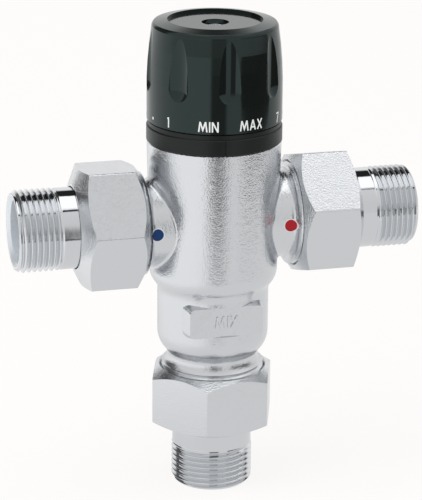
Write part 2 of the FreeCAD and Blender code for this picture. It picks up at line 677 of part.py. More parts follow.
def strainer():
    """Slotted basket that stands upstream in the tail, with its rim under the gasket."""
    rim = tube(STRAINER_RIM_RADIUS, STRAINER_RADIUS - STRAINER_WALL, -STRAINER_RIM_THICKNESS, 0)
    basket = rod(STRAINER_RADIUS, -STRAINER_RIM_THICKNESS, STRAINER_LENGTH)
    basket = basket.cut(rod(STRAINER_RADIUS - STRAINER_WALL, -STRAINER_RIM_THICKNESS,
                            STRAINER_LENGTH - STRAINER_WALL))
    slot = arm(STRAINER_SLOT_WIDTH, STRAINER_RADIUS / 2, STRAINER_RADIUS + LOOSE,
               GASKET_THICKNESS + STRAINER_SLOT_MARGIN, STRAINER_LENGTH - STRAINER_SLOT_MARGIN)
    return basket.fuse(rim).cut(ring_of(slot, STRAINER_SLOTS)).removeSplitter()


# ------------------------------------------------------------------ thermostat
def shutter():
    """Tube that closes either seat, with a spider that takes the wax element."""
    sleeve = tube(SHUTTER_RADIUS, SHUTTER_BORE, SHUTTER_FOOT, SHUTTER_TOP)
    sleeve = sleeve.cut(seal_groove(SHUTTER_RADIUS, SHUTTER_GROOVE_PLACE))
    inner = BULB_RADIUS + SNUG
    hub = tube(HUB_RADIUS, inner, SPIDER_FOOT, SPIDER_TOP)
    arms = ring_of(arm(SPIDER_ARM_WIDTH, (inner + HUB_RADIUS) / 2,
                       SHUTTER_BORE + (SHUTTER_RADIUS - SEAL_THICKNESS - SHUTTER_BORE) / 2,
                       SPIDER_FOOT, SPIDER_TOP), SPIDER_ARMS)
    return sleeve.fuse([hub] + arms.Solids).removeSplitter()


def shutter_o_ring():
    return seal(SHUTTER_RADIUS, SHUTTER_GROOVE_PLACE)


def wax_element():
    """Wax cup with its mounting flange and the guide of its piston."""
    foot = SPIDER_TOP - BULB_LENGTH
    nose = (BULB_RADIUS, foot + BULB_RADIUS)
    bore = PUSH_ROD_RADIUS + RUNNING
    pocket = WAX_GUIDE_TOP - PUSH_ROD_DEPTH - LOOSE
    return turned(
        *reversed(dome(nose, foot)), nose, (BULB_RADIUS, SPIDER_TOP),
        (WAX_FLANGE_RADIUS, SPIDER_TOP),
        (WAX_FLANGE_RADIUS, WAX_GUIDE_FOOT), (WAX_GUIDE_RADIUS, WAX_GUIDE_FOOT),
        (WAX_GUIDE_RADIUS, WAX_GUIDE_TOP), (bore, WAX_GUIDE_TOP), (bore, pocket), (0, pocket))


def push_rod():
    return rod(PUSH_ROD_RADIUS, WAX_GUIDE_TOP - PUSH_ROD_DEPTH, PLUNGER_FOOT + PUSH_ROD_SOCKET)


def return_spring():
    return coil(RETURN_SPRING_RADIUS, RETURN_SPRING_WIRE, SPRING_LEDGE, SPIDER_FOOT,
                RETURN_SPRING_TURNS)


def plunger():
    """Takes the wax element's thrust and yields upward when both seats are shut."""
    socket = PUSH_ROD_RADIUS + SNUG
    socket_top = PLUNGER_FOOT + PUSH_ROD_SOCKET
    return turned(
        (0, socket_top), (socket, socket_top), (socket, PLUNGER_FOOT),
        (PLUNGER_NOSE_RADIUS, PLUNGER_FOOT), (PLUNGER_NOSE_RADIUS, PLUNGER_FLANGE_FOOT),
        (CARRIAGE_BORE - RUNNING, PLUNGER_FLANGE_FOOT), (CARRIAGE_BORE - RUNNING, PLUNGER_FLANGE_TOP),
        (PLUNGER_BOSS_RADIUS, PLUNGER_FLANGE_TOP), (PLUNGER_BOSS_RADIUS, PLUNGER_TOP),
        (0, PLUNGER_TOP))


def plunger_clip():
    outer = CARRIAGE_BORE + CLIP_GROOVE_DEPTH - SNUG
    return snap_ring(outer, outer - CLIP_WIDTH, PLUNGER_FLANGE_FOOT - CLIP_THICKNESS)


def overload_spring():
    radius = CARRIAGE_BORE - LOOSE / 2 - OVERLOAD_SPRING_WIRE / 2
    return coil(radius, OVERLOAD_SPRING_WIRE, PLUNGER_FLANGE_TOP, CARRIAGE_SHELF,
                OVERLOAD_SPRING_TURNS)


def carriage():
    """Nut that the spindle raises, with keys that stop it turning and the overload spring inside."""
    clip_foot = PLUNGER_FLANGE_FOOT - CLIP_THICKNESS
    groove = CARRIAGE_BORE + CLIP_GROOVE_DEPTH
    thread = SPINDLE_THREAD_RADIUS + RUNNING
    sleeve = turned(
        (CARRIAGE_BORE, CARRIAGE_FOOT), (CARRIAGE_RADIUS, CARRIAGE_FOOT),
        (CARRIAGE_RADIUS, CARRIAGE_TOP), (thread, CARRIAGE_TOP), (thread, CARRIAGE_SHELF),
        (CARRIAGE_BORE, CARRIAGE_SHELF), (CARRIAGE_BORE, PLUNGER_FLANGE_FOOT),
        (groove, PLUNGER_FLANGE_FOOT), (groove, clip_foot), (CARRIAGE_BORE, clip_foot))
    key = arm(KEY_WIDTH, (CARRIAGE_BORE + CARRIAGE_RADIUS) / 2, KEY_RADIUS,
              CARRIAGE_TOP - KEY_LENGTH, CARRIAGE_TOP)
    return sleeve.fuse(ring_of(key, 2).Solids).removeSplitter()


# ------------------------------------------------------------------ spindle
def splined(radius, low, high):
    """Round bar with evenly spaced spline grooves."""
    groove = arm(SPLINE_WIDTH, radius - SPLINE_DEPTH, radius + LOOSE, low, high)
    return rod(radius, low, high).cut(ring_of(groove, SPLINE_COUNT))


def spindle():
    neck = HEADWORK_ROOF
    bar = turned(
        (0, SPINDLE_FOOT), (SPINDLE_THREAD_RADIUS - EDGE, SPINDLE_FOOT),
        (SPINDLE_THREAD_RADIUS, SPINDLE_FOOT + EDGE), (SPINDLE_THREAD_RADIUS, SPINDLE_FLANGE_FOOT),
        (SPINDLE_FLANGE_RADIUS, SPINDLE_FLANGE_FOOT), (SPINDLE_FLANGE_RADIUS, SPINDLE_FLANGE_TOP),
        (SPINDLE_RADIUS, SPINDLE_FLANGE_TOP), (SPINDLE_RADIUS, HEADWORK_TOP),
        (SPINDLE_CLIP_GROOVE, HEADWORK_TOP), (SPINDLE_CLIP_GROOVE, SPLINE_FOOT),
        (SPLINE_RADIUS - SPLINE_DEPTH, SPLINE_FOOT), (0, SPLINE_FOOT))
    for height in SPINDLE_SEALS:
        bar = bar.cut(seal_groove(SPINDLE_RADIUS, neck + height))
    bar = bar.fuse(splined(SPLINE_RADIUS, SPLINE_FOOT, SPINDLE_TOP))
    return bar.cut(rod(SCREW_RADIUS + SNUG, SCREW_SEAT - SCREW_LENGTH - LOOSE, SPINDLE_TOP))


def spindle_o_ring(index):
    return seal(SPINDLE_RADIUS, HEADWORK_ROOF + SPINDLE_SEALS[index])


def thrust_washer():
    return tube(SPINDLE_FLANGE_RADIUS, SPINDLE_RADIUS + RUNNING, SPINDLE_FLANGE_TOP, HEADWORK_ROOF)


def spindle_clip():
    return snap_ring(SPINDLE_CLIP_RADIUS, SPINDLE_CLIP_GROOVE + SNUG, HEADWORK_TOP)


# ------------------------------------------------------------------ headwork and scale collar
def collar_keys(clearance):
    """Keys that hold the collar's index mark in place on the headwork."""
    inner = COLLAR_HUB_RADIUS - COLLAR_KEY_DEPTH - clearance
    key = arm(COLLAR_KEY_WIDTH + 2 * clearance, inner, COLLAR_HUB_RADIUS + LOOSE,
              BODY_TOP + HEADWORK_FLANGE_THICKNESS, COLLAR_HUB_TOP)
    return ring_of(key, COLLAR_KEYS, INDEX_ANGLE)


def headwork():
    """Brass insert that closes the body, forms the cold seat and guides spindle and carriage."""
    flange_top = BODY_TOP + HEADWORK_FLANGE_THICKNESS
    outside = turned(
        (0, COLD_SEAT), (SEAT_RING_RADIUS, COLD_SEAT), (SEAT_RING_RADIUS, HEADWORK_FOOT),
        (HEADWORK_RADIUS, HEADWORK_FOOT), (HEADWORK_RADIUS, BODY_TOP),
        (HEADWORK_FLANGE_RADIUS, BODY_TOP), (HEADWORK_FLANGE_RADIUS, flange_top),
        (COLLAR_HUB_RADIUS, flange_top), (COLLAR_HUB_RADIUS, COLLAR_HUB_TOP),
        (HEADWORK_NECK_RADIUS, COLLAR_HUB_TOP), (HEADWORK_NECK_RADIUS, HEADWORK_TOP),
        (0, HEADWORK_TOP))
    hexagonal = hexagon(HEADWORK_HEX, COLLAR_HUB_TOP, HEADWORK_HEX_TOP)
    slots = ring_of(arm(KEY_WIDTH + 2 * RUNNING, 0, KEY_RADIUS + RUNNING,
                        COLD_SEAT, CARRIAGE_TOP + CARRIAGE_TRAVEL + LOOSE), 2)
    cutters = [rod(CARRIAGE_RADIUS + RUNNING, COLD_SEAT, HEADWORK_ROOF),
               rod(SPINDLE_RADIUS + RUNNING, HEADWORK_ROOF, HEADWORK_TOP),
               seal_groove(HEADWORK_RADIUS, HEADWORK_SEAL_PLACE)]
    return outside.fuse(hexagonal).cut(cutters + slots.Solids + collar_keys(SNUG).Solids)


def headwork_o_ring():
    return seal(HEADWORK_RADIUS, HEADWORK_SEAL_PLACE)


def scale_collar():
    """Fixed ring under the knob, with the index mark that the scale is read against."""
    flange_top = BODY_TOP + HEADWORK_FLANGE_THICKNESS
    web_top = flange_top + COLLAR_WEB
    lip_top = KNOB_FOOT - KNOB_LIFT
    ring = turned(
        (HEADWORK_FLANGE_RADIUS + SNUG, BODY_TOP), (COLLAR_RADIUS - EDGE / 2, BODY_TOP),
        (COLLAR_RADIUS, BODY_TOP + EDGE / 2), (COLLAR_RADIUS, COLLAR_TOP - EDGE / 2),
        (COLLAR_RADIUS - EDGE / 2, COLLAR_TOP), (COLLAR_LIP_RADIUS, COLLAR_TOP),
        (COLLAR_LIP_RADIUS, lip_top), (COLLAR_LIP_BORE, lip_top), (COLLAR_LIP_BORE, web_top),
        (COLLAR_HUB_RADIUS + SNUG, web_top), (COLLAR_HUB_RADIUS + SNUG, flange_top),
        (HEADWORK_FLANGE_RADIUS + SNUG, flange_top))
    keys = collar_keys(0).common(rod(COLLAR_RADIUS, flange_top, web_top))
    index = arm(INDEX_WIDTH, COLLAR_RADIUS - INDEX_DEPTH, COLLAR_RADIUS + LOOSE, BODY_TOP, COLLAR_TOP)
    index.rotate(ORIGIN, AXIS, INDEX_ANGLE)
    return ring.fuse(keys.Solids).cut(index).removeSplitter()


# ------------------------------------------------------------------ knob
def flute():
    """Ball-nosed cutter that leaves one finger flute, fading out as the knob tapers."""
    centre = FLUTE_FLOOR + FLUTE_CUTTER_RADIUS
    foot = Vector(centre, 0, KNOB_FOOT + FLUTE_FOOT)
    shaft = Part.makeCylinder(FLUTE_CUTTER_RADIUS, KNOB_HEIGHT, foot)
    return shaft.fuse(Part.makeSphere(FLUTE_CUTTER_RADIUS, foot))


def knob():
    shoulder = (KNOB_SHOULDER_RADIUS, KNOB_FOOT + KNOB_SHOULDER)
    band = (KNOB_RADIUS, KNOB_FOOT + KNOB_STRAIGHT)
    waist = (KNOB_WAIST_RADIUS, (band[1] + shoulder[1]) / 2)
    rim = (KNOB_RIM_RADIUS, KNOB_FOOT + KNOB_RIM)
    ceiling = DISC_LEVEL - KNOB_ROOF
    inner_foot = KNOB_RADIUS - KNOB_WALL
    inner_top = KNOB_SHOULDER_RADIUS - KNOB_WALL
    edge = EDGE / 2
    outside = turned(
        (0, KNOB_FOOT), (KNOB_RADIUS - edge, KNOB_FOOT), (KNOB_RADIUS, KNOB_FOOT + edge),
        *runs(band, waist, shoulder, KNOB_TAPER_RUNS), eased(shoulder, rim), rim,
        (DISC_RADIUS, KNOB_TOP), (DISC_RADIUS, DISC_LEVEL), (0, DISC_LEVEL))
    hollow = turned(
        (0, KNOB_FOOT), (inner_foot, KNOB_FOOT), (inner_foot, band[1]), (inner_top, ceiling),
        (0, ceiling))
    boss_foot = SPLINE_FOOT + MARGIN
    rib = arm(KNOB_RIB_THICKNESS, BOSS_RADIUS / 2, inner_foot, SPINDLE_TOP, ceiling + LOOSE)
    inside = [rod(BOSS_RADIUS, boss_foot, ceiling + LOOSE)] + ring_of(rib, KNOB_RIBS).Solids
    shape = outside.cut([hollow] + ring_of(flute(), FLUTES, FLUTE_PHASE).Solids)
    shape = shape.fuse([piece.common(hollow) for piece in inside])
    return shape.cut([splined(SPLINE_RADIUS + SNUG, boss_foot, SPINDLE_TOP + MARGIN),
                      rod(SCREW_RADIUS + SNUG, SPINDLE_TOP, SCREW_SEAT),
                      rod(SCREW_WELL_RADIUS, SCREW_SEAT, KNOB_TOP)])


def knob_screw():
    """Domed screw with a slot, from above the knob into the spindle."""
    head_top = SCREW_SEAT + SCREW_HEAD_HEIGHT
    head_edge = (SCREW_HEAD_RADIUS, SCREW_SEAT + SCREW_HEAD_HEIGHT / 2)
    shape = turned(
        (0, SCREW_SEAT - SCREW_LENGTH), (SCREW_RADIUS, SCREW_SEAT - SCREW_LENGTH),
        (SCREW_RADIUS, SCREW_SEAT), (SCREW_HEAD_RADIUS, SCREW_SEAT),
        head_edge, *dome(head_edge, head_top))
    slot = block((-SCREW_HEAD_RADIUS, -SCREW_SLOT_WIDTH / 2, head_top - SCREW_SLOT_DEPTH),
                 (SCREW_HEAD_RADIUS, SCREW_SLOT_WIDTH / 2, head_top))
    return shape.cut(slot)


# ------------------------------------------------------------------ the whole valve
def union_pieces():
    pieces = {}
    for side, tilt, face, turn in (("cold", -90.0, INLET_FACE, COLD_NUT_TURN),
                                   ("hot", 90.0, INLET_FACE, HOT_NUT_TURN),
                                   ("outlet", 180.0, OUTLET_FACE, OUTLET_NUT_TURN)):
        pieces[side + "_gasket"] = beside(gasket(), tilt, face)
        pieces[side + "_tail"] = beside(tail(), tilt, face)
        pieces[side + "_union_nut"] = beside(union_nut(turn), tilt, face)
    return pieces


def inlet_pieces():
    pieces = {}
    for side, tilt, direction in (("cold", -90.0, -1), ("hot", 90.0, 1)):
        for name, make in (("check_housing", check_housing), ("check_o_ring", check_o_ring),
                           ("check_poppet", check_poppet), ("check_seal", check_seal),
                           ("check_spring", check_spring), ("check_retainer", check_retainer),
                           ("strainer", strainer)):
            pieces[side + "_" + name] = beside(make(), tilt, INLET_FACE)
        pieces[side + "_marker"] = marker(direction)
    return pieces


def centre_pieces():
    return {
        "valve_body": valve_body(),
        "headwork": headwork(),
        "headwork_o_ring": headwork_o_ring(),
        "scale_collar": scale_collar(),
        "knob": knob(),
        "knob_screw": knob_screw(),
        "spindle": spindle(),
        "spindle_o_ring_lower": spindle_o_ring(0),
        "spindle_o_ring_upper": spindle_o_ring(1),
        "spindle_clip": spindle_clip(),
        "thrust_washer": thrust_washer(),
        "carriage": carriage(),
        "plunger": plunger(),
        "plunger_clip": plunger_clip(),
        "overload_spring": overload_spring(),
        "push_rod": push_rod(),
        "wax_element": wax_element(),
        "shutter": shutter(),
        "shutter_o_ring": shutter_o_ring(),
        "return_spring": return_spring(),
    }


os.makedirs("parts", exist_ok=True)
lift = Vector(0, 0, OUTLET_FACE + GASKET_THICKNESS + TAIL_LENGTH)
for node, shape in {**centre_pieces(), **union_pieces(), **inlet_pieces()}.items():
    shape.translate(lift)
    shape.exportStep("parts/" + node + ".step")
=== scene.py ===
"""Looks of the thermostatic mixing valve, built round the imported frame."""
import math

import bmesh
import bpy
from mathutils import Matrix, Vector
from mathutils.bvhtree import BVHTree


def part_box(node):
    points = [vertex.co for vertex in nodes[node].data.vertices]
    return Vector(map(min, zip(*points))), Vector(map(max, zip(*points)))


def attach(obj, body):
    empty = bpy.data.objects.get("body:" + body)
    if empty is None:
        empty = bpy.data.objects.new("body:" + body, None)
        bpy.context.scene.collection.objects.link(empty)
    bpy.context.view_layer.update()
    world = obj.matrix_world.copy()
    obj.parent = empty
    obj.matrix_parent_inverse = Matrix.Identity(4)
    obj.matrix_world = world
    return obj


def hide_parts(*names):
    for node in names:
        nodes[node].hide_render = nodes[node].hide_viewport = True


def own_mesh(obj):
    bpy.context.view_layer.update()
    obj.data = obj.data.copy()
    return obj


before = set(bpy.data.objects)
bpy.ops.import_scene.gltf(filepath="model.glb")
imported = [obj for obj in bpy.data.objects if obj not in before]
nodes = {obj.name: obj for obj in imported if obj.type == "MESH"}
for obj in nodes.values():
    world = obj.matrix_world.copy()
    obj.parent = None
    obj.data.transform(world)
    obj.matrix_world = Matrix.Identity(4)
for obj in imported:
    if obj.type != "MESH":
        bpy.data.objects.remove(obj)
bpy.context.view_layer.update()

MM = 0.001

# ------------------------------------------------------------------ places, read from the frame
INLET_HEIGHT = sum(corner.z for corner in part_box("cold_tail")) / 2
TAIL_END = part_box("hot_tail")[1].x

# ------------------------------------------------------------------ camera
CAMERA_AZIMUTH = math.radians(-15.1)
CAMERA_ELEVATION = math.radians(17.45)
CAMERA_ROLL = math.radians(0.52)
CAMERA_DISTANCE = 0.793
CAMERA_LENS = 177.2
AIM_SIDE = -0.00068
AIM_RISE = -0.01047
CAMERA_NEAREST = 0.01


def make_camera():
    crossing = Vector((0, 0, INLET_HEIGHT))
    back = Vector((math.sin(CAMERA_AZIMUTH) * math.cos(CAMERA_ELEVATION),
                   -math.cos(CAMERA_AZIMUTH) * math.cos(CAMERA_ELEVATION),
                   math.sin(CAMERA_ELEVATION)))
    right = Vector((math.cos(CAMERA_AZIMUTH), math.sin(CAMERA_AZIMUTH), 0))
    place = crossing + CAMERA_DISTANCE * back
    aim = crossing + AIM_SIDE * right + AIM_RISE * back.cross(right)
    back = (place - aim).normalized()
    right = Vector((0, 0, 1)).cross(back).normalized()
    right.rotate(Matrix.Rotation(CAMERA_ROLL, 3, back))
    turn = Matrix((right, back.cross(right), back)).transposed().to_4x4()
    data = bpy.data.cameras.new("camera")
    data.lens = CAMERA_LENS
    data.clip_start = CAMERA_NEAREST
    camera = bpy.data.objects.new("camera", data)
    camera.matrix_world = Matrix.Translation(place) @ turn
    bpy.context.scene.collection.objects.link(camera)
    bpy.context.scene.camera = camera


# ------------------------------------------------------------------ node helpers
def node(tree, kind, inputs=None, **settings):
    """Adds a node, sets it up and links any socket given as an input."""
    made = tree.nodes.new(kind)
    for key, value in settings.items():
        setattr(made, key, value)
    for key, value in (inputs or {}).items():
        if isinstance(value, bpy.types.NodeSocket):
            tree.links.new(value, made.inputs[key])
        else:
            made.inputs[key].default_value = value
    return made


def math_node(tree, operation, *values):
    return node(tree, "ShaderNodeMath", dict(enumerate(values)), operation=operation).outputs[0]


def ramp(tree, factor, stops):
    """Grey ramp through (place, value) stops."""
    made = node(tree, "ShaderNodeValToRGB", {0: factor})
    elements = made.color_ramp.elements
    while len(elements) < len(stops):
        elements.new(0.5)
    for element, (place, value) in zip(elements, stops):
        element.position = place
        element.color = grey(value)
    return made.outputs[0]


def remap(tree, value, low, high, ease="SMOOTHSTEP"):
    """0 at low, 1 at high and smooth between them."""
    return node(tree, "ShaderNodeMapRange", {0: value, 1: low, 2: high},
                interpolation_type=ease).outputs[0]


def blend(tree, share, first, second):
    return node(tree, "ShaderNodeMix", {0: share, 6: first, 7: second},
                data_type="RGBA").outputs[2]


def grey(value):
    return (value, value, value, 1)


def position(tree):
    """X, Y and Z of the point that is shaded."""
    where = node(tree, "ShaderNodeNewGeometry").outputs["Position"]
    return node(tree, "ShaderNodeSeparateXYZ", {0: where}).outputs


def bare_material(name):
    """Material without nodes, and its node tree."""
    paint = bpy.data.materials.new(name)
    paint.use_nodes = True
    paint.node_tree.nodes.clear()
    return paint, paint.node_tree


# ------------------------------------------------------------------ studio
SKY_PEAK = 2.0
# brightness by elevation in degrees, as the valve sees it towards each quarter of the studio
SKY = {
    "left": [(-90, 0.75), (-12, 0.78), (40, 0.82), (58, 0.85), (66, 1.45), (90, 1.45)],
    "front": [(-90, 0.76), (26, 0.78), (61, 0.84), (62.5, 0.05), (66, 0.05), (68, 1.1), (73, 1.45),
              (90, 1.45)],
    "right": [(-90, 0.7), (4, 0.7), (22, 0.8), (40, 1.0), (60, 1.25), (68, 1.45), (90, 1.45)],
    "back": [(-90, 0.8), (0, 0.85), (14, 1.0), (26, 0.95), (33, 0.02), (58, 0.02), (61, 1.45),
             (90, 1.45)],
    "back_left": [(-90, 0.6), (-5, 0.15), (28, 0.12), (58, 0.02), (61, 1.45), (90, 1.45)],
}
# where each quarter ends, as azimuths in degrees: 0 is the front, positive to the right
SKY_BORDERS = {"front": (-38, -22), "right": (38, 55), "back": (105, 125)}
SKY_LEFT_BORDERS = {"back_left": (-104, -118), "back": (-150, -165)}


def make_world():
    world = bpy.data.worlds.new("studio")
    world.use_nodes = True
    bpy.context.scene.world = world
    tree = world.node_tree
    tree.nodes.clear()
    direction = node(tree, "ShaderNodeSeparateXYZ",
                     {0: node(tree, "ShaderNodeTexCoord").outputs["Generated"]}).outputs
    level = remap(tree, math_node(tree, "ARCSINE", direction[2]), -math.pi / 2, math.pi / 2,
                  ease="LINEAR")
    forward = math_node(tree, "MULTIPLY", direction[1], -1.0)
    turn = math_node(tree, "ARCTAN2", direction[0], forward)
    quarters = {name: ramp(tree, level, [((angle + 90) / 180, value / SKY_PEAK)
                                         for angle, value in stops])
                for name, stops in SKY.items()}
    mixed = quarters["left"]
    for borders in (SKY_BORDERS, SKY_LEFT_BORDERS):
        for name, (start, end) in borders.items():
            share = remap(tree, turn, math.radians(start), math.radians(end))
            mixed = blend(tree, share, mixed, quarters[name])
    sky = node(tree, "ShaderNodeBackground", {0: mixed, 1: SKY_PEAK})
    plain = node(tree, "ShaderNodeBackground", {0: (*PAPER, 1), 1: 1.0})
    seen = node(tree, "ShaderNodeLightPath").outputs["Is Camera Ray"]
    out = node(tree, "ShaderNodeMixShader", {0: seen, 1: sky.outputs[0], 2: plain.outputs[0]})
    node(tree, "ShaderNodeOutputWorld", {0: out.outputs[0]})


def sheet(name, corners):
    mesh = bpy.data.meshes.new(name)
    mesh.from_pydata(corners, [], [(0, 1, 2, 3)])
    made = bpy.data.objects.new(name, mesh)
    bpy.context.scene.collection.objects.link(made)
    return made


PAPER = (0.99, 0.978, 0.968)
PAPER_SHADE = 0.12
# painted light on the paper, seen only in reflections: its brightness on the left and on the right
PAINTED_LIGHT_LEFT = 1.05
PAINTED_LIGHT_RIGHT = 0.82
PAINTED_LIGHT_TURNS = (-0.16, -0.02)    # where the painted light goes from the left brightness to the right one
FLOOR_REACH = 4


def make_floor():
    """White paper, evenly bright to the camera; where reflections see it, it glows with painted
    light, brighter on the left than on the right.
    """
    floor = sheet("floor", [(FLOOR_REACH * x, FLOOR_REACH * y, 0)
                            for x, y in ((-1, -1), (1, -1), (1, 1), (-1, 1))])
    paint, tree = bare_material("paper")
    # painted light: to reflections the paper glows brighter on the left, as if a lamp lit that
    # side
    to_right = remap(tree, position(tree)[0], *PAINTED_LIGHT_TURNS)
    paper = blend(tree, to_right, grey(PAINTED_LIGHT_LEFT), grey(PAINTED_LIGHT_RIGHT))
    mirrored = node(tree, "ShaderNodeEmission", {0: paper, 1: 1.0})
    glow = node(tree, "ShaderNodeEmission", {0: (*PAPER, 1), 1: 1.0})
    matt = node(tree, "ShaderNodeBsdfDiffuse", {0: (*PAPER, 1)})
    plain = node(tree, "ShaderNodeMixShader",
                 {0: PAPER_SHADE, 1: glow.outputs[0], 2: matt.outputs[0]})
    glossy = node(tree, "ShaderNodeLightPath").outputs["Is Glossy Ray"]
    out = node(tree, "ShaderNodeMixShader",
               {0: glossy, 1: plain.outputs[0], 2: mirrored.outputs[0]})
    node(tree, "ShaderNodeOutputMaterial", {0: out.outputs[0]})
    floor.data.materials.append(paint)


def flag(name, corners, level, fade):
    """Dark card that only reflections see. fade(tree, position) gives how solid it is."""
    card = sheet(name, corners)
    card.visible_camera = card.visible_diffuse = card.visible_shadow = False
    card.visible_transmission = card.visible_volume_scatter = False
    paint, tree = bare_material(name)
    dark = node(tree, "ShaderNodeEmission", {0: grey(1), 1: level})
    clear = node(tree, "ShaderNodeBsdfTransparent")
    mixed = node(tree, "ShaderNodeMixShader",
                 {0: fade(tree, position(tree)), 1: clear.outputs[0], 2: dark.outputs[0]})
    node(tree, "ShaderNodeOutputMaterial", {0: mixed.outputs[0]})
    card.data.materials.append(paint)


FLAG_LEFT, FLAG_RIGHT = -0.155, 0.045
FLAG_EDGE = 0.035
FLAG_NEAR, FLAG_FULL, FLAG_FAR = -0.24, -0.32, -0.36
FLAG_CLEAR, FLAG_TOP = 0.08, 0.28
MAT_LIFT = 0.0005
MAT_LEVEL = 0.04
BOARD_LEVEL = 0.2
SIDE_DISTANCE = 0.5
SIDE_START, SIDE_END = math.radians(30), math.radians(88)
SIDE_TOP, SIDE_FADE = 0.15, 0.105
SIDE_LEVEL = 0.08


def make_flags():
    def across(tree, place):
        left = remap(tree, place[0], FLAG_LEFT, FLAG_LEFT + FLAG_EDGE)
        right = remap(tree, place[0], FLAG_RIGHT, FLAG_RIGHT - FLAG_EDGE)
        return math_node(tree, "MULTIPLY", left, right)

    def mat_fade(tree, place):
        depth = remap(tree, place[1], FLAG_NEAR, FLAG_FULL)
        return math_node(tree, "MULTIPLY", across(tree, place), depth)

    def board_fade(tree, place):
        height = remap(tree, place[2], FLAG_TOP, FLAG_CLEAR)
        return math_node(tree, "MULTIPLY", across(tree, place), height)

    def side_fade(tree, place):
        return remap(tree, place[2], SIDE_TOP, SIDE_FADE)

    flag("front_mat", [(FLAG_LEFT, FLAG_FAR, MAT_LIFT), (FLAG_RIGHT, FLAG_FAR, MAT_LIFT),
                       (FLAG_RIGHT, FLAG_NEAR, MAT_LIFT), (FLAG_LEFT, FLAG_NEAR, MAT_LIFT)],
         MAT_LEVEL, mat_fade)
    flag("front_board", [(FLAG_LEFT, FLAG_FAR, 0), (FLAG_RIGHT, FLAG_FAR, 0),
                         (FLAG_RIGHT, FLAG_FAR, FLAG_TOP), (FLAG_LEFT, FLAG_FAR, FLAG_TOP)],
         BOARD_LEVEL, board_fade)
    start, end = [(SIDE_DISTANCE * math.sin(turn), -SIDE_DISTANCE * math.cos(turn))
                  for turn in (SIDE_START, SIDE_END)]
    flag("side_board", [(*start, 0), (*end, 0), (*end, SIDE_TOP), (*start, SIDE_TOP)],
         SIDE_LEVEL, side_fade)


KEY_PLACE = Vector((-0.9, -0.3, 1.3))
KEY_AIM = Vector((0, 0, 0.05))
KEY_SIZE = 1.2
KEY_POWER = 10


def make_key():
    """Soft lamp for the plastics and the paper, kept out of the mirroring chrome."""
    data = bpy.data.lights.new("key", "AREA")
    data.shape = "RECTANGLE"
    data.size = data.size_y = KEY_SIZE
    data.energy = KEY_POWER
    lamp = bpy.data.objects.new("key", data)
    lamp.location = KEY_PLACE
    lamp.rotation_euler = (KEY_AIM - KEY_PLACE).to_track_quat("-Z", "Y").to_euler()
    lamp.visible_glossy = False
    bpy.context.scene.collection.objects.link(lamp)


make_camera()
make_world()
make_floor()
make_flags()
make_key()
bpy.context.scene.view_settings.view_transform = "Standard"


# ------------------------------------------------------------------ finishes
def finish(name, color, metallic=0.0, rough=0.5, **inputs):
    paint = bpy.data.materials.new(name)
    paint.use_nodes = True
    shader = paint.node_tree.nodes["Principled BSDF"]
    shader.inputs["Base Color"].default_value = (*color, 1)
    shader.inputs["Metallic"].default_value = metallic
    shader.inputs["Roughness"].default_value = rough
    for key, value in inputs.items():
        shader.inputs[key.replace("_", " ")].default_value = value
    return paint, paint.node_tree, shader


def grain(tree, scale, detail=2.0, rough=0.5):
    where = node(tree, "ShaderNodeTexCoord").outputs["Object"]
    return node(tree, "ShaderNodeTexNoise",
                {"Vector": where, "Scale": scale, "Detail": detail, "Roughness": rough}).outputs[0]


def bump(tree, shader, height, depth):
    made = node(tree, "ShaderNodeBump", {"Strength": 1.0, "Distance": depth, "Height": height})
    tree.links.new(made.outputs[0], shader.inputs["Normal"])


CHROME = (0.68, 0.695, 0.715)
BLASTED_ROUGH = 0.09
FINE_DETAIL, FINE_ROUGH = 2.0, 0.6
BROAD_SHARE = 0.25          # scale of the broad waves, as a share of the grain's
POLISHED_ROUGH = 0.05
POLISHED_SCALE, POLISHED_DEPTH = 700, 0.01 * MM
PLASTIC_SCALE, PLASTIC_DEPTH = 900, 0.02 * MM
METAL_SCALE, METAL_DEPTH = 1200, 0.03 * MM
FIBRE_SCALE, FIBRE_DEPTH = 400, 0.1 * MM
KNOB_DEPTH = 0.003 * MM
KNOB_TINT = (0.7, 1, 0.98, 1)


def blasted(name, grain_size, depth, waves):
    """Chrome over a blasted skin: fine bumps scatter what it mirrors, over broad waves."""
    paint, tree, shader = finish(name, CHROME, 1.0, BLASTED_ROUGH)
    fine = grain(tree, 1 / grain_size, FINE_DETAIL, FINE_ROUGH)
    broad = grain(tree, BROAD_SHARE / grain_size, 1.0)
    height = math_node(tree, "ADD", fine, math_node(tree, "MULTIPLY", broad, waves))
    bump(tree, shader, height, depth)
    return paint


def bright_chrome():
    paint, tree, shader = finish("bright_chrome", CHROME, 1.0, POLISHED_ROUGH)
    bump(tree, shader, grain(tree, POLISHED_SCALE), POLISHED_DEPTH)
    return paint


def plastic(name, color, rough, scale=PLASTIC_SCALE, depth=PLASTIC_DEPTH, **inputs):
    paint, tree, shader = finish(name, color, 0.0, rough, **inputs)
    bump(tree, shader, grain(tree, scale), depth)
    return paint


def plain_metal(name, color, rough):
    paint, tree, shader = finish(name, color, 1.0, rough)
    bump(tree, shader, grain(tree, METAL_SCALE), METAL_DEPTH)
    return paint


